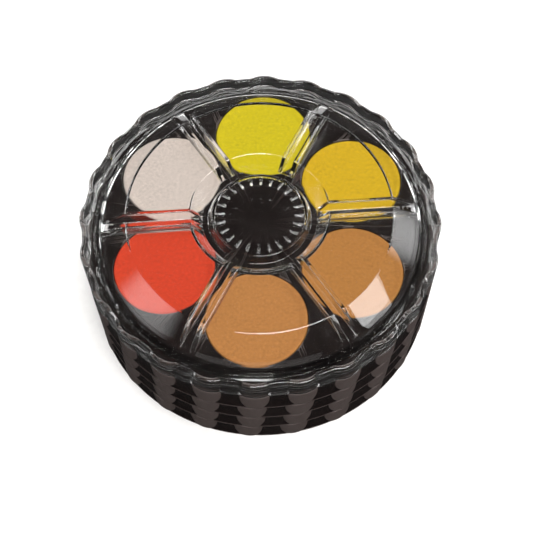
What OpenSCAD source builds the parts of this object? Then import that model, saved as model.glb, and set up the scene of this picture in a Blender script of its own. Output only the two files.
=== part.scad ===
// Stacking watercolour set: four round trays of pressed paint tablets under a clear mixing lid.
// The trays and the lid nest into each other and are held by a short twist of six lugs.
// Origin at the middle of the underside of the bottom tray, +Z up the stack, front towards -Y.

/* [Paint tablets] */
// Diameter of a pressed paint tablet
tablet_d = 23.6; // [16:0.2:30]
// Thickness of a tablet at its rim
tablet_h = 4.1; // [2.5:0.1:6]
// Width of the flat rim around a tablet's pressed dish
tablet_rim = 1.9; // [1:0.1:3]
// Depth of the dish pressed into a tablet
dish_depth = 0.4; // [0.2:0.05:0.8]

/* [Trays] */
// Tablets in one tray
wells = 6; // [5:1:6]
// Gap around a tablet in its well
tablet_fit = 0.1; // [0.05:0.05:0.3]
// Bar of plastic left between two wells
well_gap = 1.6; // [1:0.1:3]
// Thickness of a well's floor and of the deck
floor_t = 1; // [0.8:0.1:1.5]
// Thickness of the wall outside the wells
edge_wall = 0.5; // [0.4:0.1:1.2]
// Depth of a tablet's rim below the deck
tablet_drop = 0.2; // [0:0.1:0.6]
// Space between the tablets of one tray and the wells above them
stack_gap = 0.9; // [0.5:0.1:2]
// Thickness of the ring that joins deck, neck and skirt
web_t = 1; // [0.8:0.1:1.5]
// Space between a deck and the ring of the tray above it
deck_gap = 0.7; // [0.4:0.1:1.5]
// Turn of each tray from the lid, bottom tray first
tray_turns = [-2.5, -1.5, -0.9, 0]; // [-8:0.1:8]

/* [Nesting] */
// Gap between the seats of two trays
seat_gap = 0.2; // [0.1:0.05:0.4]
// Gap between a deck's side and the plug around it
plug_gap = 0.3; // [0.2:0.1:0.8]
// Thickness of the plug's wall
plug_wall = 1; // [0.8:0.1:1.6]
// Distance that a lug stands out from its wall
lug_proud = 0.7; // [0.4:0.1:1.2]
// Gap between a lug and the wall that it slides along
lug_gap = 0.2; // [0.1:0.05:0.5]
// Height of a lug
lug_h = 1; // [0.8:0.1:1.2]
// Distance from a neck's top edge down to its lugs
lug_inset = 0.2; // [0.1:0.05:0.3]
// Height that stays free between a neck's lugs and the lugs that turn in under them
twist_gap = 0.3; // [0.1:0.05:0.5]
// Arc of one lug, in degrees
lug_arc = 20; // [10:1:24]
// Turn between a released lug and the neck's next lug, in degrees
lug_play = 5; // [2:1:8]
// Angle at which the lugs under a tray or the lid end
lug_turn = 35.6; // [0:0.1:60]
// Thickness of the neck's wall
neck_wall = 1; // [0.8:0.1:1.6]
// Gap between a neck and the skirt around it
skirt_gap = 0.4; // [0.3:0.1:1.2]

/* [Grip rim] */
// Thickness of a skirt's wall between its lobes
skirt_wall = 1.1; // [0.8:0.1:1.8]
// Grip lobes around the rim
lobes = 24; // [18:1:30]
// Diameter of the round that forms a lobe
lobe_d = 14; // [8:0.5:18]
// Distance that a lobe stands out from the skirt
lobe_proud = 0.85; // [0.4:0.05:1.2]

/* [Lid] */
// Wall thickness of the lid
lid_wall = 1; // [0.8:0.1:1.4]
// Height of the lid's outer rim above its lower edge
lid_rim_h = 6.4; // [5.5:0.1:8]
// Gap between the top tray's neck and the lid's gutter
gutter_gap = 0.3; // [0.2:0.1:0.6]
// Width of the gutter behind the rim
gutter_w = 1.3; // [1:0.1:2]
// Gap between the top tray's deck and the shoulder of the lid
shoulder_gap = 0.7; // [0.6:0.1:1.5]
// Run of the shoulder's slope
shoulder_run = 2.1; // [1.5:0.1:2.6]
// Width of the slope between shoulder and plateau
slope_w = 6.2; // [4:0.1:8]
// Gap between the top tray's deck and the floor of the lid's moat
moat_gap = 1.4; // [1:0.1:2.5]
// Depth of the moat around the hub, below the plateau
moat_depth = 3.4; // [2:0.1:3.8]
// Height of the channels' floor above the moat
sill_h = 0.1; // [0.05:0.05:0.5]
// Width of a channel
channel_w = 2.1; // [1.5:0.1:4]
// Turn of the channels from the nearest grip lobe
channel_turn = 5.3; // [0:0.1:15]
// Radius of the plateau's inner edge around the hub
hub_r = 16.3; // [14:0.1:19]
// Radius of the foot of the plateau's inner wall
moat_r = 13.8; // [12.8:0.1:16]
// Radius of the hub disc
disc_r = 11.4; // [8:0.1:11.8]
// Run of the hub disc's side wall
disc_run = 0.9; // [0.5:0.1:1]
// Height of the hub disc above the moat
disc_h = 1.8; // [0.5:0.05:2.5]
// Raised ticks around the hub disc
ticks = 24; // [12:1:36]
// Length of a tick
tick_len = 1.8; // [0.8:0.1:3]
// Width of a tick
tick_w = 0.5; // [0.3:0.1:1]
// Height of a tick
tick_h = 0.3; // [0.2:0.05:0.5]
// Gap between the ticks and the edge of the disc
tick_inset = 1.1; // [0.6:0.1:2]
// Height of the step that shows above each lug of the lid
step_h = 1; // [0.5:0.1:1.5]

/* [Hidden] */
// One row for each tray, bottom tray first, and one name for each well, counter-clockwise.
paint_names = [
    ["carmine", "pink", "orange", "burnt_sienna", "burnt_umber", "black"],
    ["sky_blue", "cobalt_blue", "ultramarine", "prussian_blue", "violet", "turquoise"],
    ["light_green", "emerald_green", "viridian", "sap_green", "olive_green", "dark_green"],
    ["golden_yellow", "lemon_yellow", "white", "vermilion", "yellow_ochre", "raw_sienna"],
];
paint_colors = [
    ["crimson", "hotpink", "orange", "sienna", "saddlebrown", "dimgray"],
    ["deepskyblue", "royalblue", "mediumblue", "midnightblue", "darkviolet", "turquoise"],
    ["limegreen", "mediumseagreen", "teal", "forestgreen", "olivedrab", "darkgreen"],
    ["goldenrod", "gold", "gainsboro", "orangered", "peru", "peru"],
];
trays = len(paint_names);
well_list = [for (i = [0:trays - 1], k = [0:wells - 1]) [i, k]];

$fn = 96;
over = 1; // how far a cutting shape passes through what it cuts

// Radii, from the tablets outwards.
well_r = tablet_d / 2 + tablet_fit;
well_pitch = 360 / wells;
ring_r = (2 * well_r + well_gap) / (2 * sin(well_pitch / 2));
deck_r = ring_r + well_r + edge_wall;
plug_in_r = deck_r + plug_gap;
plug_r = plug_in_r + plug_wall;
neck_in_r = plug_r + lug_proud + lug_gap;
neck_r = neck_in_r + neck_wall;
skirt_in_r = neck_r + skirt_gap;
skirt_r = skirt_in_r + skirt_wall;

// Heights in a tray, from its own lower edge.
tray_pitch = tablet_h + tablet_drop + floor_t + stack_gap;
rim_z = tray_pitch - seat_gap;
deck_z = rim_z + tray_pitch - web_t - deck_gap;
tablet_z = deck_z - tablet_drop - tablet_h;
neck_lug_z = tray_pitch + lug_h + twist_gap;
neck_z = neck_lug_z + lug_h + lug_inset;
neck_lug_turn = lug_turn + lug_play + lug_arc;

// The lid's outline, from its own lower edge.
lid_z = trays * tray_pitch;
gutter_z = neck_z - tray_pitch + gutter_gap + lid_wall;
gutter_r = skirt_in_r - gutter_w;
shoulder_r = gutter_r - shoulder_run;
shoulder_z = deck_z - tray_pitch + shoulder_gap + lid_wall;
plateau_r = shoulder_r - slope_w;
moat_z = deck_z - tray_pitch + moat_gap + lid_wall;
plateau_z = moat_z + moat_depth;
channel_z = moat_z + sill_h;
disc_z = moat_z + disc_h;
lid_plug_z = gutter_z + (gutter_r - plug_r) / shoulder_run * (shoulder_z - gutter_z) - lid_wall / 8;

// Points of an open line moved sideways by d, with mitred corners.
function unit(v) = v / norm(v);
function side(a, b) = [a[1] - b[1], b[0] - a[0]] / norm(b - a);
function mitre(p, q, r, d) =
    let (m = unit(side(p, q) + side(q, r))) q + m * d / (m * side(p, q));
function moved(line, d) = [
    for (i = [0:len(line) - 1])
        i == 0 ? line[0] + side(line[0], line[1]) * d
        : i == len(line) - 1 ? line[i] + side(line[i - 1], line[i]) * d
        : mitre(line[i - 1], line[i], line[i + 1], d)
];

module ring(r_out, r_in, z0, z1) {
    translate([0, 0, z0]) difference() {
        cylinder(h = z1 - z0, r = r_out);
        translate([0, 0, -over]) cylinder(h = z1 - z0 + 2 * over, r = r_in);
    }
}

// The outline of the grip rim, moved inwards by inset.
module lobed_outline(inset) {
    circle(r = skirt_r - inset);
    for (k = [0:lobes - 1])
        rotate(360 / lobes * k) translate([skirt_r + lobe_proud - lobe_d / 2, 0])
            circle(r = lobe_d / 2 - inset);
}

// One lug for each well, each on an arc that ends at the angle given.
module lugs(r_in, r_out, z0, z1, end) {
    for (k = [0:wells - 1])
        rotate([0, 0, end - lug_arc + well_pitch * k])
            rotate_extrude(angle = lug_arc)
                translate([r_in, z0]) square([r_out - r_in, z1 - z0]);
}

// The lugs at the foot of a plug, which turn under those of the neck below.
module plug_lugs() {
    lugs(plug_r - plug_wall / 2, plug_r + lug_proud, 0, lug_h, lug_turn);
}

module at_wells() {
    for (k = [0:wells - 1]) rotate([0, 0, well_pitch * (k + 0.5)]) translate([ring_r, 0, 0]) children();
}

// A tray's round section between its skirt and its middle: ring, plug, neck and deck.
tray_line = [
    [skirt_in_r + skirt_wall / 2, rim_z - web_t],
    [skirt_in_r + skirt_wall / 2, rim_z],
    [neck_r, rim_z],
    [neck_r, neck_z],
    [neck_in_r, neck_z],
    [neck_in_r, rim_z],
    [deck_r, rim_z],
    [deck_r, deck_z],
    [0, deck_z],
    [0, deck_z - floor_t],
    [deck_r - floor_t, deck_z - floor_t],
    [deck_r - floor_t, rim_z - web_t],
    [plug_in_r, rim_z - web_t],
    [plug_in_r, 0],
    [plug_r, 0],
    [plug_r, rim_z - web_t]
];

module tray_body() {
    linear_extrude(rim_z) difference() {
        lobed_outline(0);
        circle(r = skirt_in_r);
    }
    plug_lugs();
    lugs(neck_in_r - lug_proud, neck_in_r + neck_wall / 2, neck_lug_z, neck_lug_z + lug_h, neck_lug_turn);
    difference() {
        union() {
            rotate_extrude() polygon(tray_line);
            intersection() {
                at_wells() translate([0, 0, tablet_z - floor_t])
                    cylinder(h = deck_z - tablet_z + floor_t / 2, r = well_r + floor_t);
                cylinder(h = deck_z, r = deck_r - floor_t / 2);
            }
        }
        at_wells() translate([0, 0, tablet_z]) cylinder(h = deck_z, r = well_r);
    }
}

module tray(i) {
    color([0.09, 0.09, 0.1])
        translate([0, 0, tray_pitch * i]) rotate([0, 0, tray_turns[i]]) tray_body();
}

module tablet(i, k) {
    dish_r = tablet_d / 2 - tablet_rim;
    color(paint_colors[i][k])
        translate([0, 0, tray_pitch * i + tablet_z])
            rotate([0, 0, tray_turns[i] + well_pitch * (k + 0.5)]) translate([ring_r, 0, 0])
                difference() {
                    cylinder(h = tablet_h, r = tablet_d / 2);
                    translate([0, 0, tablet_h - dish_depth])
                        cylinder(h = dish_depth + over, r1 = dish_r, r2 = dish_r + dish_depth + over);
                }
}

// The lid's top line, from the gutter in to the hub, and the mass below it.
top_line = [
    [skirt_r + lobe_proud, gutter_z],
    [gutter_r, gutter_z],
    [shoulder_r, shoulder_z],
    [plateau_r, plateau_z],
    [hub_r, plateau_z],
    [moat_r, moat_z],
    [disc_r + disc_run, moat_z],
    [disc_r, disc_z],
    [0, disc_z]
];

module below(line) {
    rotate_extrude() polygon(concat(line, [[0, -over], [line[0][0], -over]]));
}

// The channels between the mixing wells, cut from the hub out through the slope.
module channels(width, floor_z) {
    for (k = [0:wells - 1])
        rotate([0, 0, channel_turn + well_pitch * k])
            translate([moat_r - over, -width / 2, floor_z]) cube([plateau_r + slope_w, width, plateau_z]);
}

module lid_shell() {
    difference() {
        intersection() {
            below(top_line);
            linear_extrude(plateau_z) lobed_outline(skirt_wall / 2);
        }
        channels(channel_w, channel_z);
        difference() {
            below(moved(top_line, lid_wall));
            channels(channel_w + 2 * lid_wall, channel_z - lid_wall);
        }
    }
}

module lid() {
    color([0.85, 0.9, 0.95, 0.35]) translate([0, 0, lid_z]) {
        lid_shell();
        linear_extrude(lid_rim_h) difference() {
            lobed_outline(0);
            lobed_outline(skirt_wall);
        }
        ring(plug_r, plug_in_r, 0, lid_plug_z);
        plug_lugs();
        lugs(plug_r, gutter_r, gutter_z - lid_wall / 2, gutter_z + step_h, lug_turn);
        for (k = [0:ticks - 1])
            rotate([0, 0, 360 / ticks * k])
                translate([disc_r - tick_inset - tick_len, -tick_w / 2, disc_z - lid_wall / 2])
                    cube([tick_len, tick_w, lid_wall / 2 + tick_h]);
    }
}

lid();
for (i = [0:trays - 1])
    tray(i);
for (w = well_list)
    tablet(w[0], w[1]);
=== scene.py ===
import math

import bmesh
import bpy
from mathutils import Matrix, Vector, noise


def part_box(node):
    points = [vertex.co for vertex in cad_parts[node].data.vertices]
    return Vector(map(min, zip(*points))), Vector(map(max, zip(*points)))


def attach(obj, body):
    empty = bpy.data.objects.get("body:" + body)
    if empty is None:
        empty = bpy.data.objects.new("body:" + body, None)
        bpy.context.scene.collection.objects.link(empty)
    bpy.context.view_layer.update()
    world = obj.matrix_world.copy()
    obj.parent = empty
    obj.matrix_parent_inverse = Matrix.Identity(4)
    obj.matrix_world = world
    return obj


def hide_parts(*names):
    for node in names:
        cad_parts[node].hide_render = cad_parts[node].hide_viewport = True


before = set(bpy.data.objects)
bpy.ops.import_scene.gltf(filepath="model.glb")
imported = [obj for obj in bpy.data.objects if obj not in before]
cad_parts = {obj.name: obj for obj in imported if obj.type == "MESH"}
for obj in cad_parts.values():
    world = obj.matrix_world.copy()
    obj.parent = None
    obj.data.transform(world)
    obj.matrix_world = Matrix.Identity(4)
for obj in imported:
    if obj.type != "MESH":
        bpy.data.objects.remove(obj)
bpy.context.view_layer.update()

mm = 0.001

# Watercolour set: four nesting black trays of pressed paint tablets under a clear mixing lid.
# Every size below is in millimetres, measured from the lower edge of the piece it belongs to.


def mix(a, b, share):
    return a + (b - a) * min(max(share, 0.0), 1.0)


def linear(hexColour):
    # sRGB hex to the linear colour that a shader takes
    values = [int(hexColour[i:i + 2], 16) / 255 for i in (1, 3, 5)]
    return [v / 12.92 if v <= 0.04045 else ((v + 0.055) / 1.055) ** 2.4 for v in values] + [1.0]


def filleted(corners, steps=3):
    # corners are (x, z, radius, kind); each radius above 0 becomes an arc
    line = []
    for i, (x, z, radius, kind) in enumerate(corners):
        if radius == 0:
            line.append((x, z, kind))
            continue
        here = Vector((x, z))
        back = (Vector(corners[i - 1][:2]) - here).normalized()
        ahead = (Vector(corners[i + 1][:2]) - here).normalized()
        half = back.angle(ahead) / 2
        centre = here + (back + ahead).normalized() * radius / math.sin(half)
        first = (here + back * radius / math.tan(half) - centre).normalized()
        last = (here + ahead * radius / math.tan(half) - centre).normalized()
        for k in range(steps + 1):
            p = centre + first.slerp(last, k / steps) * radius
            line.append((p.x, p.y, kind))
    return line


def lowered(line, depth):
    # an open (x, z) line that runs outwards, moved down by a wall's thickness with mitred corners
    moved = []
    for i, point in enumerate(line):
        sides = []
        for a, b in ((i - 1, i), (i, i + 1)):
            if 0 <= a and b < len(line):
                along = (Vector(line[b]) - Vector(line[a])).normalized()
                sides.append(Vector((along.y, -along.x)))
        normal = sum(sides, Vector((0, 0))).normalized()
        p = Vector(point) + normal * depth / normal.dot(sides[0])
        moved.append((p.x, p.y))
    return moved


def heightAt(line, x):
    # height of an (x, z) line above x
    for (x0, z0), (x1, z1) in zip(line, line[1:]):
        if min(x0, x1) <= x <= max(x0, x1) and x0 != x1:
            return mix(z0, z1, (x - x0) / (x1 - x0))
    raise ValueError(f"no height at {x}")


def radiusAt(line, z):
    # the first radius at which an (x, z) line passes the height z
    for (x0, z0), (x1, z1) in zip(line, line[1:]):
        if min(z0, z1) <= z <= max(z0, z1) and z0 != z1:
            return mix(x0, x1, (z - z0) / (z1 - z0))
    raise ValueError(f"no radius at {z}")


def spun(outline, columns):
    # a section outline of (x, z, kind) spun once about Z; the row layer keeps each vertex's place in it
    bm = bmesh.new()
    row = bm.verts.layers.int.new("row")
    verts = []
    for i, (x, z, kind) in enumerate(outline):
        v = bm.verts.new((x * mm, 0, z * mm))
        v[row] = i
        verts.append(v)
    edges = [bm.edges.new(pair) for pair in zip(verts, verts[1:])]
    if outline[0][0] > 0:
        edges.append(bm.edges.new((verts[-1], verts[0])))
    bmesh.ops.spin(bm, geom=verts + edges, cent=(0, 0, 0), axis=(0, 0, 1), angle=2 * math.pi,
                   steps=columns, use_merge=True)
    bmesh.ops.remove_doubles(bm, verts=bm.verts, dist=1e-6)
    bmesh.ops.recalc_face_normals(bm, faces=bm.faces)
    return bm, row


def place(bm, turn=0.0, at=(0, 0, 0)):
    # turn in radians about Z, then a move in metres
    bmesh.ops.transform(bm, matrix=Matrix.Translation(at) @ Matrix.Rotation(turn, 4, "Z"), verts=bm.verts)


def piece(name, bm, material, smooth=True):
    mesh = bpy.data.meshes.new(name)
    bm.to_mesh(mesh)
    bm.free()
    for face in mesh.polygons:
        face.use_smooth = smooth
    mesh.materials.append(material)
    obj = bpy.data.objects.new(name, mesh)
    bpy.context.scene.collection.objects.link(obj)
    return obj


def evenNormals(obj):
    # keeps the flats flat where they meet the small moulded radii
    weighted = obj.modifiers.new("evenNormals", "WEIGHTED_NORMAL")
    weighted.weight = 90
    weighted.keep_sharp = True


def lobe(angle, radius, proud, roundness):
    # how far a grip lobe stands out of a rim at an angle from the lobe's middle, all in mm
    centre = radius + proud - roundness
    inside = roundness ** 2 - (centre * math.sin(angle)) ** 2
    if inside <= 0:
        return 0.0
    return max(0.0, centre * math.cos(angle) + math.sqrt(inside) - radius)


def lobeEdge(radius, proud, roundness):
    # the angle at which a lobe runs into its rim
    centre = radius + proud - roundness
    return math.acos((centre ** 2 + radius ** 2 - roundness ** 2) / (2 * centre * radius))


def addNode(tree, kind, settings=None, links=None):
    # one shader node, its settings (properties or sockets) and the sockets that feed it
    node = tree.nodes.new("ShaderNode" + kind)
    for key, value in (settings or {}).items():
        if isinstance(key, str) and hasattr(node, key):
            setattr(node, key, value)
        else:
            node.inputs[key].default_value = value
    for key, source in (links or {}).items():
        tree.links.new(source, node.inputs[key])
    return node


def newMaterial(name):
    material = bpy.data.materials.new(name)
    material.use_nodes = True
    tree = material.node_tree
    tree.nodes.clear()
    output = addNode(tree, "OutputMaterial")
    place3d = addNode(tree, "TexCoord").outputs["Object"]
    return material, tree, output, place3d


def grainScale(size):
    # noise scale for a grain of that size in mm, on coordinates in metres
    return 1 / (size * mm)


# Clear general-purpose polystyrene, injection moulded and polished: glassy, with handling scratches.
clearStyrene = {
    "ior": 1.59,
    "roughness": 0.02,
    "tint": "#fbfbfa",
    "lampTint": "#f1f0ee",
    "scratchSize": 1.75,
    "scratchTurns": (0.5, 2.1),         # radians about Z
    "scratchStretch": (1, 0.06, 0.3),   # a small share draws the noise out along that axis
    "scratchWidth": 0.004,              # share of the noise's range that is a groove
    "scratchDepth": 0.003,
    "scratchRoughness": 0.15,
    "wornSize": 14.0,                   # size of the patches in which scratches show
    "wornFrom": 0.58,
    "wornTo": 0.76,
    "flowSize": 9.0,
    "flowDepth": 0.005,
}


def clearStyreneMoulded():
    values = clearStyrene
    material, tree, output, coords = newMaterial("clearStyreneMoulded")
    flow = addNode(tree, "TexNoise", {"Scale": grainScale(values["flowSize"]), "Detail": 1.0},
                   {"Vector": coords})
    waves = addNode(tree, "Bump", {"Strength": 0.5, "Distance": values["flowDepth"] * mm},
                    {"Height": flow.outputs["Fac"]})
    # fine scratches run where two stretched noises cross their middle value
    normal = waves.outputs["Normal"]
    haze = None
    for turn in values["scratchTurns"]:
        turned = addNode(tree, "Mapping", {"Rotation": (0, 0, turn), "Scale": values["scratchStretch"]},
                         {"Vector": coords})
        line = addNode(tree, "TexNoise", {"Scale": grainScale(values["scratchSize"]), "Detail": 3.0},
                       {"Vector": turned.outputs["Vector"]})
        off = addNode(tree, "Math", {"operation": "SUBTRACT", 1: 0.5}, {0: line.outputs["Fac"]})
        size = addNode(tree, "Math", {"operation": "ABSOLUTE"}, {0: off.outputs[0]})
        groove = addNode(tree, "MapRange", {"From Max": values["scratchWidth"], "To Min": 1.0,
                                            "To Max": 0.0}, {"Value": size.outputs[0]})
        patch = addNode(tree, "TexNoise", {"Scale": grainScale(values["wornSize"]), "Detail": 2.0},
                        {"Vector": coords})
        worn = addNode(tree, "MapRange", {"From Min": values["wornFrom"], "From Max": values["wornTo"]},
                       {"Value": patch.outputs["Fac"]})
        seen = addNode(tree, "Math", {"operation": "MULTIPLY"}, {0: groove.outputs[0], 1: worn.outputs[0]})
        bump = addNode(tree, "Bump", {"Strength": 0.6, "Distance": values["scratchDepth"] * mm,
                                      "invert": True}, {"Height": seen.outputs[0], "Normal": normal})
        normal = bump.outputs["Normal"]
        haze = seen if haze is None else addNode(tree, "Math", {"operation": "MAXIMUM"},
                                                 {0: haze.outputs[0], 1: seen.outputs[0]})
    rough = addNode(tree, "MapRange", {"To Min": values["roughness"], "To Max": values["scratchRoughness"]},
                    {"Value": haze.outputs[0]})
    plastic = addNode(tree, "BsdfPrincipled", {"Base Color": linear(values["tint"]), "IOR": values["ior"],
                                               "Transmission Weight": 1.0},
                      {"Roughness": rough.outputs[0], "Normal": normal})
    # lamps reach the paints through the lid
    through = addNode(tree, "BsdfTransparent", {"Color": linear(values["lampTint"])})
    path = addNode(tree, "LightPath")
    both = addNode(tree, "MixShader", {}, {"Fac": path.outputs["Is Shadow Ray"],
                                           1: plastic.outputs[0], 2: through.outputs[0]})
    tree.links.new(both.outputs[0], output.inputs["Surface"])
    return material


# High-impact polystyrene, mass-coloured black and injection moulded: glossy, with satin grip lobes whose
# lighter grey is a painted sheen.
blackStyrene = {
    "colour": "#120c0b",
    "worn": "#221b1a",
    # painted sheen: a lighter grey that stands in for the light the lobes and the skirts' lower edges catch
    "paintedSheen": "#4c413e",
    "ior": 1.59,
    "specular": 0.4,
    "roughness": 0.15,
    "glossLess": 0.04,      # how far the roughness wanders below its value, and above it
    "glossMore": 0.06,
    "satinRoughness": 0.5,
    "texture": 0.6,
    "textureDepth": 0.01,
    "flowSize": 12.0,
    "dustSize": 0.9,
    "dustFrom": 0.7,        # the top of the noise's range, which shows as specks
    "dustTo": 0.78,
}


def blackStyreneMoulded():
    values = blackStyrene
    material, tree, output, coords = newMaterial("blackStyreneMoulded")
    flow = addNode(tree, "TexNoise", {"Scale": grainScale(values["flowSize"]), "Detail": 3.0},
                   {"Vector": coords})
    skin = addNode(tree, "TexNoise", {"Scale": grainScale(values["texture"]), "Detail": 4.0},
                   {"Vector": coords})
    dust = addNode(tree, "TexNoise", {"Scale": grainScale(values["dustSize"]), "Detail": 2.0},
                   {"Vector": coords})
    specks = addNode(tree, "MapRange", {"From Min": values["dustFrom"], "From Max": values["dustTo"]},
                     {"Value": dust.outputs["Fac"]})
    shade = addNode(tree, "MapRange", {"From Min": 0.35, "From Max": 0.75, "To Max": 0.5},
                    {"Value": flow.outputs["Fac"]})
    marks = addNode(tree, "Math", {"operation": "MAXIMUM"}, {0: shade.outputs[0], 1: specks.outputs[0]})
    moulded = addNode(tree, "Mix", {"data_type": "RGBA", 6: linear(values["colour"]),
                                    7: linear(values["worn"])}, {0: marks.outputs[0]})
    # the grip lobes, which the mesh marks with an attribute, get a painted sheen (a lighter grey colour)
    # and a satin roughness
    paintedSheen = addNode(tree, "Attribute", {"attribute_name": "paintedSheen"}).outputs["Fac"]
    colour = addNode(tree, "Mix", {"data_type": "RGBA", 7: linear(values["paintedSheen"])},
                     {0: paintedSheen, 6: moulded.outputs[2]})
    gloss = addNode(tree, "MapRange", {"From Min": 0.3, "From Max": 0.7,
                                       "To Min": values["roughness"] - values["glossLess"],
                                       "To Max": values["roughness"] + values["glossMore"]},
                    {"Value": flow.outputs["Fac"]})
    rough = addNode(tree, "MapRange", {"To Max": values["satinRoughness"]},
                    {"Value": paintedSheen, "To Min": gloss.outputs[0]})
    bump = addNode(tree, "Bump", {"Strength": 0.35, "Distance": values["textureDepth"] * mm},
                   {"Height": skin.outputs["Fac"]})
    plastic = addNode(tree, "BsdfPrincipled", {"IOR": values["ior"],
                                               "Specular IOR Level": values["specular"]},
                      {"Base Color": colour.outputs[2], "Roughness": rough.outputs[0],
                       "Normal": bump.outputs["Normal"]})
    tree.links.new(plastic.outputs[0], output.inputs["Surface"])
    return material


# Pressed watercolour: pigment and gum compacted in a die, dry and matt, with a fine granular skin.
pressedPaint = {
    "grain": 0.75,          # real grain is about 0.1 mm, drawn coarser so that it shows
    "grainDepth": 0.05,
    "mottle": 3.5,
    "pitSize": 1.3,         # spacing of the small pits
    "pitWidth": 0.22,       # share of the spacing that a pit's slope takes
    "roughness": 0.82,
    "uneven": 0.1,          # how far the roughness wanders either way
    "shade": 0.68,          # brightness of the dark grains, and of the light ones
    "tint": 1.22,
    "colours": {
        "carmine": "#9c1230", "pink": "#e0617f", "orange": "#ee7a1c",
        "burnt_sienna": "#97492a", "burnt_umber": "#5b3a27", "black": "#222021",
        "sky_blue": "#5aa9dc", "cobalt_blue": "#1f56b4", "ultramarine": "#1b2f93",
        "prussian_blue": "#152b4e", "violet": "#5a2a86", "turquoise": "#1f9a9c",
        "light_green": "#86be3c", "emerald_green": "#1f9b57", "viridian": "#0f6b55",
        "sap_green": "#3f7a2a", "olive_green": "#6b6c25", "dark_green": "#1d4a2c",
        "golden_yellow": "#dcb41c", "lemon_yellow": "#d9c718", "white": "#dccfc8",
        "vermilion": "#dc4426", "yellow_ochre": "#c08348", "raw_sienna": "#ba7f40",
    },
}


def paintPressed(name, hexColour):
    values = pressedPaint
    material, tree, output, coords = newMaterial("pressedPaint_" + name)
    base = linear(hexColour)
    grain = addNode(tree, "TexNoise", {"Scale": grainScale(values["grain"]), "Detail": 4.0,
                                       "Roughness": 0.6}, {"Vector": coords})
    mottle = addNode(tree, "TexNoise", {"Scale": grainScale(values["mottle"]), "Detail": 3.0},
                     {"Vector": coords})
    pits = addNode(tree, "TexVoronoi", {"Scale": grainScale(values["pitSize"])}, {"Vector": coords})
    darker = [c * values["shade"] for c in base[:3]] + [1.0]
    lighter = [min(1.0, c * values["tint"]) for c in base[:3]] + [1.0]
    spread = addNode(tree, "MapRange", {"From Min": 0.3, "From Max": 0.7}, {"Value": grain.outputs["Fac"]})
    fine = addNode(tree, "Mix", {"data_type": "RGBA", 6: darker, 7: lighter}, {0: spread.outputs[0]})
    cloud = addNode(tree, "MapRange", {"From Min": 0.35, "From Max": 0.65, "To Min": 0.35, "To Max": 0.75},
                    {"Value": mottle.outputs["Fac"]})
    colour = addNode(tree, "Mix", {"data_type": "RGBA", 7: base},
                     {0: cloud.outputs[0], 6: fine.outputs[2]})
    pit = addNode(tree, "MapRange", {"From Max": values["pitWidth"]}, {"Value": pits.outputs["Distance"]})
    grainBump = addNode(tree, "Bump", {"Strength": 0.55, "Distance": values["grainDepth"] * mm},
                        {"Height": grain.outputs["Fac"]})
    pitBump = addNode(tree, "Bump", {"Strength": 0.25, "Distance": values["grainDepth"] * mm},
                      {"Height": pit.outputs[0], "Normal": grainBump.outputs["Normal"]})
    rough = addNode(tree, "MapRange", {"To Min": values["roughness"] - values["uneven"],
                                       "To Max": values["roughness"] + values["uneven"]},
                    {"Value": grain.outputs["Fac"]})
    paint = addNode(tree, "BsdfPrincipled", {"Specular IOR Level": 0.3},
                    {"Base Color": colour.outputs[2], "Roughness": rough.outputs[0],
                     "Normal": pitBump.outputs["Normal"]})
    tree.links.new(paint.outputs[0], output.inputs["Surface"])
    return material


print("materials ready")

rim = {
    "inner": 41.4,          # inside of the skirt
    "outer": 42.5,          # outside of the skirt, between the lobes
    "lobes": 24,
    "proud": 0.85,          # how far a lobe stands out
    "trayFlare": 0.72,      # how far the flats between lobes come out to meet them at the lower edge
    "lidFlare": 0.25,
    "skirtRows": 12,
    "paintedSheenEdge": 0.25,     # height up to which a skirt's lower edge gets the painted sheen too
    "roundness": 7.0,       # radius of the round that forms a lobe
    "lobeColumns": 8,       # columns of faces from a lobe's middle to its edge
    "flatColumns": 4,       # columns from there to the middle of the flat
}
rimSector = 2 * (rim["lobeColumns"] + rim["flatColumns"])
rimColumns = rim["lobes"] * rimSector
lobePitch = 2 * math.pi / rim["lobes"]
fullEdge = lobeEdge(rim["outer"], rim["proud"], rim["roundness"])


def rimAngle(column, edge=fullEdge):
    # angle of a column of faces, with columns gathered so that one runs along each lobe's edge
    nearest = (column + rimSector // 2) // rimSector
    side = column - nearest * rimSector
    if abs(side) <= rim["lobeColumns"]:
        off = abs(side) / rim["lobeColumns"] * edge
    else:
        off = edge + (abs(side) - rim["lobeColumns"]) / rim["flatColumns"] * (lobePitch / 2 - edge)
    return nearest * lobePitch + math.copysign(off, side)


def fromLobe(angle):
    # angle from the middle of the nearest lobe
    return (angle + lobePitch / 2) % lobePitch - lobePitch / 2


def skirtPoint(column, x, drop, edgeFlare):
    # the outside of a skirt, with drop from 0 at its top to 1 at its lower edge
    flare = edgeFlare * drop ** 3
    radius = rim["outer"] + flare
    proud = rim["proud"] - flare
    angle = rimAngle(column, lobeEdge(radius, proud, rim["roundness"]))
    return angle, x + flare + lobe(fromLobe(angle), radius, proud, rim["roundness"])


def skirtRows(height):
    # rows down the outside of a skirt, between its edge radii
    count = rim["skirtRows"]
    return [(rim["outer"], height * k / count, 0, "skirt") for k in range(count - 1, 0, -1)]


def columnOf(co):
    return round(math.atan2(co.y, co.x) / (2 * math.pi / rimColumns)) % rimColumns


def fromLobeMiddle(column):
    # columns from the middle of the nearest lobe, signed
    return (column + rimSector // 2) % rimSector - rimSector // 2


lugs = {
    "count": 6,
    "proud": 0.7,           # how far a lug stands out
    "height": 1.0,
    "arc": 20.0,            # length of a lug, in degrees
    "end": 35.6,            # where a plug's first lug ends, in degrees
    "neckEnd": 60.6,        # where a neck's first lug ends
    "lead": 6.0,            # length of a step's run-in, in degrees
    "side": 0.05,           # height over which a lug's side falls to its plug or neck
    "foot": 0.1,            # the same at a plug's lower edge, and at the top of a neck's lugs
    "slack": 0.1,           # degrees by which a column may miss a lug's end
}


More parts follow.
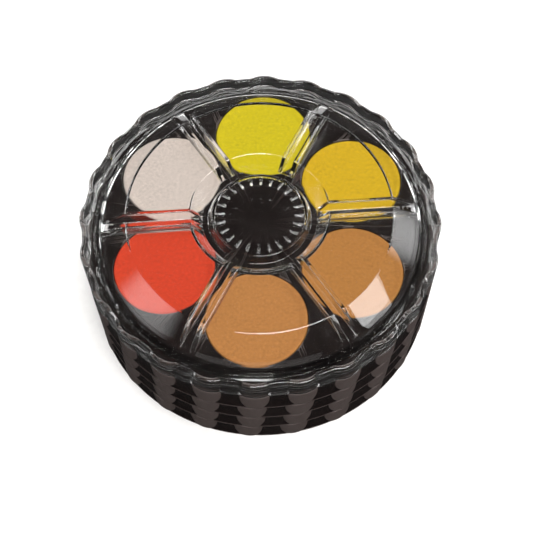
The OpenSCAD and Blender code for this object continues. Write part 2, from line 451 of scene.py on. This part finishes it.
def lugShare(angle, end, lead=0.0):
    # 1 on a lug, 0 between two; lead is the run-in in degrees at its clockwise end
    pitch = 360 / lugs["count"]
    start = end - lugs["arc"]
    off = (math.degrees(angle) - start) % pitch
    if off > lugs["arc"] + lugs["slack"]:
        return 0.0
    return 1.0 if lead == 0 else min(1.0, off / lead)


tray = {
    "height": 6.0,          # top of the ring and skirt
    "web": 1.0,             # thickness of the ring
    "deckRadius": 37.8,
    "deckTop": 10.5,
    "floor": 1.0,
    "plugInner": 38.1,
    "plugOuter": 39.1,
    "neckInner": 40.0,
    "neckOuter": 41.0,
    "neckTop": 8.7,
    "neckLug": 7.5,         # underside of the neck's lugs
    "wellRadius": 11.9,
    "wellFloor": 6.2,
    "wellFlare": 0.35,      # moulded radius around a well's mouth
    "flareSteps": 4,
    "cupWall": 0.78,        # thickness of a well's side under the deck
    "cupChamfer": 1.5,      # around a cup's underside
    "cupLap": 0.4,          # how far below the deck's top a cup ends inside it
    "wells": 6,
    "wellColumns": 96,
    "ringRadius": 25.4,     # from the stack's axis to a well's middle
}


def trayOutline():
    t = tray
    ring = t["height"]
    under = t["height"] - t["web"]
    deckUnder = t["deckTop"] - t["floor"]
    side = t["deckRadius"] - t["floor"]
    return filleted([
        (0, t["deckTop"], 0, "deck"),
        (t["deckRadius"], t["deckTop"], 0.3, "deck"),
        (t["deckRadius"], ring, 0.2, "ring"),
        (t["neckInner"], ring, 0.2, "ring"),
        (t["neckInner"], t["neckLug"] - lugs["side"], 0, "ring"),
        (t["neckInner"], t["neckLug"], 0, "neckLug"),
        (t["neckInner"], t["neckLug"] + lugs["height"] - lugs["foot"], 0, "neckLug"),
        (t["neckInner"], t["neckLug"] + lugs["height"], 0, "ring"),
        (t["neckInner"], t["neckTop"], 0.15, "ring"),
        (t["neckOuter"], t["neckTop"], 0.25, "ring"),
        (t["neckOuter"], ring, 0.15, "ring"),
        (rim["outer"], ring, 0.3, "skirt"),
        *skirtRows(ring),
        (rim["outer"], 0, 0.2, "skirt"),
        (rim["inner"], 0, 0.2, "ring"),
        (rim["inner"], under, 0.3, "ring"),
        (t["plugOuter"], under, 0.2, "ring"),
        (t["plugOuter"], lugs["height"] + lugs["side"], 0, "ring"),
        (t["plugOuter"], lugs["height"], 0, "plugLug"),
        (t["plugOuter"], lugs["foot"], 0, "plugLug"),
        (t["plugOuter"], 0, 0, "ring"),
        (t["plugInner"], 0, 0.2, "ring"),
        (t["plugInner"], under, 0.15, "ring"),
        (side, under, 0.15, "ring"),
        (side, deckUnder, 0.3, "ring"),
        (0, deckUnder, 0, "ring"),
    ])


def trayBlank():
    # the tray's round body with its grip lobes and lugs, without wells
    outline = trayOutline()
    bm, row = spun(outline, rimColumns)
    paintedSheen = bm.verts.layers.float.new("paintedSheen")
    for v in bm.verts:
        x, z, kind = outline[v[row]]
        if x < tray["plugInner"]:
            continue
        column = columnOf(v.co)
        angle = rimAngle(column)
        radius = x
        if kind == "skirt":
            angle, radius = skirtPoint(column, x, 1 - z / tray["height"], rim["trayFlare"])
            # the lobes and the skirt's lower edge are marked for the painted sheen
            onLobe = abs(fromLobeMiddle(column)) < rim["lobeColumns"]
            v[paintedSheen] = 1.0 if onLobe or z < rim["paintedSheenEdge"] else 0.0
        elif kind == "neckLug":
            radius -= lugs["proud"] * lugShare(angle, lugs["neckEnd"])
        elif kind == "plugLug":
            radius += lugs["proud"] * lugShare(angle, lugs["end"])
        v.co = Vector((radius * math.cos(angle), radius * math.sin(angle), z)) * mm
    return bm


def wellMiddles():
    # the wells stand half a pitch away from +X
    for k in range(tray["wells"]):
        angle = (k + 0.5) * 2 * math.pi / tray["wells"]
        yield Vector((math.cos(angle), math.sin(angle), 0)) * tray["ringRadius"] * mm


def stamped(outline, name):
    # one spun shape repeated at every well, as a cutter or a cup
    bm = bmesh.new()
    for at in wellMiddles():
        one = spun(outline, tray["wellColumns"])[0]
        place(one, at=at)
        copy = bpy.data.meshes.new(name)
        one.to_mesh(copy)
        one.free()
        bm.from_mesh(copy)
        bpy.data.meshes.remove(copy)
    mesh = bpy.data.meshes.new(name)
    bm.to_mesh(mesh)
    bm.free()
    obj = bpy.data.objects.new(name, mesh)
    bpy.context.scene.collection.objects.link(obj)
    return obj


def combined(obj, other, operation):
    # applies a boolean with another object, which is then removed
    boolean = obj.modifiers.new(operation, "BOOLEAN")
    boolean.operation = operation
    boolean.solver = "EXACT"
    boolean.object = other
    depsgraph = bpy.context.evaluated_depsgraph_get()
    result = bpy.data.meshes.new_from_object(obj.evaluated_get(depsgraph))
    obj.modifiers.clear()
    old = obj.data
    obj.data = result
    bpy.data.meshes.remove(old)
    bpy.data.objects.remove(other)


def buildTray(material):
    t = tray
    blank = piece("trayBlank", trayBlank(), material)
    cupRadius = t["wellRadius"] + t["cupWall"]
    cupUnder = t["wellFloor"] - t["floor"]
    cup = [
        (0, cupUnder, "cup"),
        (cupRadius - t["cupChamfer"], cupUnder, "cup"),
        (cupRadius, cupUnder + t["cupChamfer"], "cup"),
        (cupRadius, t["deckTop"] - t["cupLap"], "cup"),
        (0, t["deckTop"] - t["cupLap"], "cup"),
    ]
    # the flare is a quarter round, hollow side outwards
    flare = []
    for k in range(t["flareSteps"] + 1):
        angle = math.pi / 2 * k / t["flareSteps"]
        flare.append((t["wellRadius"] + t["wellFlare"] * (1 - math.cos(angle)),
                      t["deckTop"] - t["wellFlare"] * (1 - math.sin(angle)), "pocket"))
    above = t["deckTop"] + 1
    pocket = [
        (0, t["wellFloor"], "pocket"),
        (t["wellRadius"], t["wellFloor"], "pocket"),
        *flare,
        (t["wellRadius"] + t["wellFlare"], above, "pocket"),
        (0, above, "pocket"),
    ]
    combined(blank, stamped(cup, "cups"), "UNION")
    combined(blank, stamped(pocket, "pockets"), "DIFFERENCE")
    return blank


black = blackStyreneMoulded()
firstTray = buildTray(black)
trayMesh = firstTray.data
bpy.data.objects.remove(firstTray)
print("tray shape ready,", len(trayMesh.polygons), "faces")

paintNames = [
    ["carmine", "pink", "orange", "burnt_sienna", "burnt_umber", "black"],
    ["sky_blue", "cobalt_blue", "ultramarine", "prussian_blue", "violet", "turquoise"],
    ["light_green", "emerald_green", "viridian", "sap_green", "olive_green", "dark_green"],
    ["golden_yellow", "lemon_yellow", "white", "vermilion", "yellow_ochre", "raw_sienna"],
]


def middleOf(node):
    low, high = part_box(node)
    return (low + high) / 2


for i, names in enumerate(paintNames):
    node = f"tray_{i + 1}"
    first = middleOf("tablet_" + names[0])
    turn = math.atan2(first.y, first.x) - math.pi / tray["wells"]
    bm = bmesh.new()
    bm.from_mesh(trayMesh)
    place(bm, turn, (0, 0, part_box(node)[0].z))
    shell = piece(f"trayShell_{i + 1}", bm, black)
    evenNormals(shell)
    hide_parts(node)
    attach(shell, node)
print("trays ready")


tablet = {
    "radius": 11.8,
    "height": 4.1,
    "dish": 0.4,            # depth of the pressed dish
    "dishRadius": 9.7,      # flat middle of the dish
    "crest": 11.3,          # radius of the rim's crest
    "edge": 0.3,            # radius of the upper edge
    "foot": 0.2,            # radius of the lower edge
    "rows": 6,              # rows across the flat middle, and as many up the slope
    "columns": 128,
    "uneven": 0.03,         # height of the slight waves that pressing leaves
    "waves": 4.0,           # length of those waves
}


def tabletBlank():
    # one pressed tablet about the Z axis
    t = tablet
    slope = []
    for k in range(t["rows"] + 1):
        share = k / t["rows"]
        x = mix(t["dishRadius"], t["crest"], share)
        z = t["height"] - t["dish"] * (1 - share * share * (3 - 2 * share))
        slope.append((x, z, 0, "face"))
    floor = t["height"] - t["dish"]
    floorRows = [(t["dishRadius"] * k / t["rows"], floor, 0, "face") for k in range(t["rows"])]
    outline = filleted(floorRows + slope + [
        (t["radius"], t["height"], t["edge"], "edge"),
        (t["radius"], 0, t["foot"], "edge"),
        (0, 0, 0, "edge"),
    ])
    bm = spun(outline, t["columns"])[0]
    mesh = bpy.data.meshes.new("tabletBlank")
    bm.to_mesh(mesh)
    bm.free()
    return mesh


def buildTablet(name, node, blank, material):
    low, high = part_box(node)
    middle = middleOf(node)
    bm = bmesh.new()
    bm.from_mesh(blank)
    place(bm, 0, (middle.x, middle.y, low.z))
    # only the face is uneven, with a hair below it for rounding
    faceFrom = high.z - (tablet["dish"] + 0.02) * mm
    for v in bm.verts:
        if v.co.z > faceFrom:
            v.co.z += (noise.noise(v.co / (tablet["waves"] * mm)) - 0.5) * tablet["uneven"] * mm
    obj = piece("paint_" + name, bm, material)
    evenNormals(obj)
    return obj


blankTablet = tabletBlank()
for i, names in enumerate(paintNames):
    for name in names:
        node = "tablet_" + name
        obj = buildTablet(name, node, blankTablet, paintPressed(name, pressedPaint["colours"][name]))
        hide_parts(node)
        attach(obj, f"tray_{i + 1}")
print("tablets ready")


lid = {
    "wall": 1.0,
    "discTop": 8.5,         # top of the round hub
    "disc": 11.4,           # radius of the hub's top edge
    "discFoot": 12.3,
    "moat": 6.7,            # floor of the moat around the hub
    "moatOuter": 13.8,
    "plateauInner": 16.3,
    "plateau": 10.1,        # top of the six raised sectors
    "plateauOuter": 31.8,
    "shoulder": 38.0,       # radius and height of the foot of the outer slope
    "shoulderTop": 6.0,
    "gutterRadius": 40.1,
    "gutter": 3.8,          # floor of the gutter inside the rim
    "rimTop": 6.4,
    "plugInner": 38.1,
    "plugOuter": 39.1,
    "blendFrom": 37.0,      # radius from which columns turn from the channels to the lobes
    "channelFloor": 6.8,
    "channelHalf": 1.05,    # half of a channel's width
    "channelTurn": 5.3,     # angle of the first channel, in degrees
    "channels": 6,
    "channelColumn": 9,     # the column of faces that runs along a channel's middle
    "edgeRound": 0.15,      # moulded radius along a channel's edges
    "wallLean": 0.03,       # half of the run of a channel's steep wall
    "stepTop": 4.8,         # the ledge that shows above each lug
    "stepRows": (0.5, 0.25, 0.1, 0.04),     # rows along the ledge, inwards from the gutter
    "stepGap": 0.02,        # the ledge ends this far into the gutter, and falls over the next length
    "stepFall": 0.1,
    "tickInner": 8.5,       # the 24 raised ticks on the hub
    "tickOuter": 10.3,
    "tickHeight": 0.3,
    "tickSide": 0.06,       # run of a tick's inner or outer end
    "tickHalfColumns": 2,
}


def wallColumns(edge):
    # distances at which columns run beside a channel's wall, close together over its two small radii
    r = lid["edgeRound"]
    lean = lid["wallLean"]
    outwards = [lean, lean + 0.02, r * 0.6, r + lean]
    return [edge - s for s in reversed(outwards)] + [edge + s for s in outwards]


outerHalf = lid["channelHalf"] + lid["wall"]
# distances in mm of the columns beside a channel's middle line
beside = [0, 0.45, *wallColumns(lid["channelHalf"]), 1.55, *wallColumns(outerHalf), 2.6]
channelPitch = 2 * math.pi / lid["channels"]
channelSector = rimColumns // lid["channels"]


def channelAngle(column, radius):
    # angle of a column that keeps its distance from the nearest channel's middle line
    s, j = divmod(column - lid["channelColumn"], channelSector)
    near = min(j, channelSector - j)
    last = len(beside) - 1
    if near <= last:
        off = math.asin(beside[near] / radius)
    else:
        off = mix(math.asin(beside[last] / radius), channelPitch / 2,
                  (near - last) / (channelSector / 2 - last))
    if j > channelSector / 2:
        off = channelPitch - off
    return math.radians(lid["channelTurn"]) + s * channelPitch + off


def fromChannel(angle, radius):
    # distance from the nearest channel's middle line
    off = (angle - math.radians(lid["channelTurn"]) + channelPitch / 2) % channelPitch - channelPitch / 2
    return abs(radius * math.sin(off))


def wallHeight(distance, edge, height):
    # height of a steep wall at that distance, with a small radius at its foot and its top
    off = distance - edge
    reach = lid["edgeRound"] + lid["wallLean"]
    if abs(off) >= reach:
        return 0.0 if off < 0 else height
    turn = min(1.0, (reach - abs(off)) / lid["edgeRound"])
    rise = min(lid["edgeRound"], height / 2) * (1 - math.sqrt(max(0.0, 1 - turn * turn)))
    return rise if off < 0 else height - rise


def lidOutline():
    l = lid
    top = [
        (0, l["discTop"]),
        (l["disc"], l["discTop"]),
        (l["discFoot"], l["moat"]),
        (l["moatOuter"], l["moat"]),
        (l["plateauInner"], l["plateau"]),
        (l["plateauOuter"], l["plateau"]),
        (l["shoulder"], l["shoulderTop"]),
        (l["gutterRadius"], l["gutter"]),
        (rim["inner"], l["gutter"]),
    ]
    under = lowered(top, l["wall"])
    slope = top[5:7]
    underSlope = under[5:7]
    innerWall = top[3:5]
    underInner = under[3:5]
    channelUnder = l["channelFloor"] - l["wall"]
    stepRadius = radiusAt(top[6:8], l["stepTop"])
    # level rows on both sides of the ticks keep the hub's shading even
    tickRows = [(x, l["discTop"], 0, kind) for x, kind in (
        (l["tickInner"] / 2, "top"), (l["tickInner"] - 0.3, "top"), (l["tickInner"] - l["tickSide"], "top"),
        (l["tickInner"], "tick"), (l["tickOuter"], "tick"), (l["tickOuter"] + l["tickSide"], "top"),
        (l["tickOuter"] + 0.25, "top"))]
    stepRadii = [stepRadius + 0.04] + [l["gutterRadius"] - s for s in l["stepRows"]]
    stepRows = [(x, heightAt(top[6:8], x), 0, "step") for x in stepRadii]
    gutterUnder = l["gutter"] - l["wall"]
    corners = [
        (0, l["discTop"], 0, "top"),
        *tickRows,
        (l["disc"], l["discTop"], 0.3, "top"),
        (l["discFoot"], l["moat"], 0.3, "top"),
        (l["moatOuter"], l["moat"], 0.12, "top"),
        (radiusAt(innerWall, l["channelFloor"]), l["channelFloor"], 0, "top"),
        (l["plateauInner"], l["plateau"], 0.6, "top"),
        (l["plateauOuter"], l["plateau"], 0.9, "top"),
        (radiusAt(slope, l["channelFloor"]), l["channelFloor"], 0, "top"),
        (l["shoulder"], l["shoulderTop"], 0.6, "top"),
        (stepRadius, l["stepTop"], 0, "top"),
        *stepRows,
        (l["gutterRadius"] + l["stepGap"], l["gutter"], 0, "top"),
        (rim["inner"], l["gutter"], 0.25, "rim"),
        (rim["inner"], l["rimTop"], 0.25, "rim"),
        (rim["outer"], l["rimTop"], 0.35, "skirt"),
        *skirtRows(l["rimTop"]),
        (rim["outer"], 0, 0.25, "skirt"),
        (rim["inner"], 0, 0.2, "rim"),
        (rim["inner"], gutterUnder, 0.3, "rim"),
        (under[7][0], gutterUnder, 0.2, "under"),
        (l["plugOuter"], heightAt(under[6:8], l["plugOuter"]), 0.1, "under"),
        (l["plugOuter"], lugs["height"] + lugs["side"], 0, "under"),
        (l["plugOuter"], lugs["height"], 0, "plugLug"),
        (l["plugOuter"], lugs["foot"], 0, "plugLug"),
        (l["plugOuter"], 0, 0, "under"),
        (l["plugInner"], 0, 0.15, "under"),
        (l["plugInner"], heightAt(under[6:8], l["plugInner"]), 0.1, "under"),
        (under[6][0], under[6][1], 0, "under"),
        (radiusAt(underSlope, channelUnder), channelUnder, 0, "under"),
        (*under[5], 0.2, "under"),
        (*under[4], 0.2, "under"),
        (radiusAt(underInner, channelUnder), channelUnder, 0, "under"),
        (*under[3], 0.05, "under"),
        (*under[2], 0.2, "under"),
        (*under[1], 0.2, "under"),
        (0, under[0][1], 0, "under"),
    ]
    return filleted(corners)


def buildLid(material):
    l = lid
    outline = lidOutline()
    bm, row = spun(outline, rimColumns)
    even = 2 * math.pi / rimColumns
    underFloor = l["channelFloor"] - l["wall"]
    for v in bm.verts:
        x, z, kind = outline[v[row]]
        if x == 0:
            continue
        column = columnOf(v.co)
        angle = column * even
        if x > l["disc"]:
            angle = mix(angle, channelAngle(column, x), (x - l["disc"]) / (l["discFoot"] - l["disc"]))
        if x > l["blendFrom"]:
            angle = mix(channelAngle(column, x), rimAngle(column),
                        (x - l["blendFrom"]) / (l["gutterRadius"] - l["blendFrom"]))
        radius = x
        # half a millimetre clears the fillet at the hub's foot
        beyondHub = x >= l["discFoot"] + 0.5
        if kind == "top" and beyondHub and z > l["channelFloor"]:
            rise = wallHeight(fromChannel(angle, x), l["channelHalf"], z - l["channelFloor"])
            z = l["channelFloor"] + rise
        elif kind == "under" and beyondHub and z > underFloor and x < l["shoulder"]:
            rise = wallHeight(fromChannel(angle, x), outerHalf, z - underFloor)
            z = underFloor + rise
        elif kind == "tick":
            if abs(fromLobeMiddle(column)) <= l["tickHalfColumns"]:
                z += l["tickHeight"]
        elif kind == "step":
            share = lugShare(angle, lugs["end"], lugs["lead"])
            z = mix(z, l["stepTop"], share * (l["gutterRadius"] + l["stepGap"] - x) / l["stepFall"])
        elif kind == "plugLug":
            radius += lugs["proud"] * lugShare(angle, lugs["end"])
        if kind == "rim":
            radius += lobe(fromLobe(angle), rim["outer"], rim["proud"], rim["roundness"])
        elif kind == "skirt":
            angle, radius = skirtPoint(column, x, 1 - z / l["rimTop"], rim["lidFlare"])
        v.co = Vector((radius * math.cos(angle), radius * math.sin(angle), z)) * mm
    place(bm, 0, (0, 0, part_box("lid")[0].z))
    bmesh.ops.recalc_face_normals(bm, faces=bm.faces)
    obj = piece("clearLid", bm, material)
    evenNormals(obj)
    return obj


clearLid = buildLid(clearStyreneMoulded())
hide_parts("lid")
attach(clearLid, "lid")
print("lid ready,", len(clearLid.data.polygons), "faces")


studio = {
    "floorSize": 6.0,
    "floorColour": "#f1efed",
    "backdrop": "#f7f6f5",
    "dimRoom": 0.03,        # what the object mirrors between the lights
    "skylight": (0.15, -0.3, 1.0),      # direction of the wide overhead light
    "skylightPower": 3.1,   # in watts per square metre
    "skylightWidth": 34.0,  # in degrees
    "lampAim": (0.0, 0.0, 0.03),
}
# soft round glows on the walls: direction, cosine at the edge, cosine of the bright middle, strength
glows = {
    "leftGlow": ((-0.79, -0.2, 0.6), 0.945, 0.997, 1.7),
    "rightGlow": ((0.82, 0.42, 0.36), 0.965, 0.998, 2.6),
}
# name: place in metres, size in metres, power in watts
softboxes = {
    "backBox": ((0.0, 0.75, 0.62), (1.4, 0.28), 4.0),
    "backLeftBox": ((-0.5, 0.47, 0.72), (0.32, 0.26), 1.9),
    "backRightBox": ((0.5, 0.47, 0.72), (0.32, 0.26), 1.9),
    "frontBox": ((0.0, -0.8, 0.54), (1.1, 0.18), 0.3),
    "rightBox": ((0.62, -0.11, 0.56), (0.36, 0.3), 1.5),
}


def paperSweep():
    # white seamless paper, matt, with a faint fibre mottle
    material, tree, output, coords = newMaterial("seamlessPaperMatt")
    fibre = addNode(tree, "TexNoise", {"Scale": grainScale(2.0), "Detail": 3.0}, {"Vector": coords})
    colour = addNode(tree, "Mix", {"data_type": "RGBA", 6: linear(studio["floorColour"]),
                                   7: linear("#fbfaf8")}, {0: fibre.outputs["Fac"]})
    paper = addNode(tree, "BsdfPrincipled", {"Roughness": 0.9, "Specular IOR Level": 0.2},
                    {"Base Color": colour.outputs[2]})
    tree.links.new(paper.outputs[0], output.inputs["Surface"])
    return material


def buildFloor():
    bm = bmesh.new()
    bmesh.ops.create_grid(bm, x_segments=2, y_segments=2, size=studio["floorSize"] / 2)
    floor = piece("paperFloor", bm, paperSweep(), smooth=False)
    # black flags keep the paper out of what the plastics mirror and bend
    floor.visible_glossy = False
    floor.visible_transmission = False


def aimed(obj, at, target):
    obj.location = at
    obj.rotation_euler = (Vector(target) - Vector(at)).to_track_quat("-Z", "Y").to_euler()
    bpy.context.scene.collection.objects.link(obj)


def softbox(name, at, size, power):
    light = bpy.data.lights.new(name, "AREA")
    light.shape = "RECTANGLE"
    light.size, light.size_y = size
    light.energy = power
    aimed(bpy.data.objects.new(name, light), at, studio["lampAim"])


def glowAt(tree, towards, direction, edge, middle, strength):
    near = addNode(tree, "VectorMath", {"operation": "DOT_PRODUCT", 1: Vector(direction).normalized()},
                   {0: towards})
    glow = addNode(tree, "MapRange", {"interpolation_type": "SMOOTHSTEP", "From Min": edge,
                                      "From Max": middle, "To Max": strength},
                   {"Value": near.outputs["Value"]})
    return glow.outputs[0]


def buildWorld():
    # the backdrop is pale, while the object mirrors a dim room with a soft glow at each side
    world = bpy.data.worlds.new("studio")
    bpy.context.scene.world = world
    world.use_nodes = True
    tree = world.node_tree
    tree.nodes.clear()
    towards = addNode(tree, "TexCoord").outputs["Generated"]
    left, right = [glowAt(tree, towards, *values) for values in glows.values()]
    both = addNode(tree, "Math", {"operation": "ADD"}, {0: left, 1: right})
    room = addNode(tree, "Math", {"operation": "ADD", 1: studio["dimRoom"]}, {0: both.outputs[0]})
    dim = addNode(tree, "Background", {"Color": linear("#ffffff")}, {"Strength": room.outputs[0]})
    pale = addNode(tree, "Background", {"Color": linear(studio["backdrop"])})
    path = addNode(tree, "LightPath")
    shown = addNode(tree, "MixShader", {}, {"Fac": path.outputs["Is Camera Ray"], 1: dim.outputs[0],
                                            2: pale.outputs[0]})
    addNode(tree, "OutputWorld", {}, {"Surface": shown.outputs[0]})


def buildSkylight():
    light = bpy.data.lights.new("skylight", "SUN")
    light.energy = studio["skylightPower"]
    light.angle = math.radians(studio["skylightWidth"])
    overhead = bpy.data.objects.new("skylight", light)
    # the clear rim would pipe it to the eye as bright patches
    overhead.visible_transmission = False
    aimed(overhead, studio["skylight"], (0, 0, 0))


def buildStudio():
    buildWorld()
    buildSkylight()
    for name, (at, size, power) in softboxes.items():
        softbox(name, at, size, power)
    scene = bpy.context.scene
    scene.view_settings.view_transform = "Standard"
    # lamps already shine through the lid, so their refracted light isn't counted again
    scene.cycles.caustics_refractive = False
    scene.cycles.caustics_reflective = False


# the camera's lens and sensor in mm, its place and aim in mm, and its roll in degrees
view = {
    "lens": 71.82,
    "at": (7.28, -130.98, 249.16),
    "aim": (1.90, -11.63, 28.9),
    "roll": -1.12,
    "sensor": 36.0,
    "nearClip": 10.0,
}


def buildCamera():
    camera = bpy.data.cameras.new("camera")
    camera.lens = view["lens"]
    camera.sensor_width = view["sensor"]
    camera.clip_start = view["nearClip"] * mm
    obj = bpy.data.objects.new("camera", camera)
    aimed(obj, Vector(view["at"]) * mm, Vector(view["aim"]) * mm)
    obj.rotation_euler.rotate_axis("Z", math.radians(view["roll"]))
    bpy.context.scene.camera = obj


buildFloor()
buildStudio()
buildCamera()
print("studio ready")
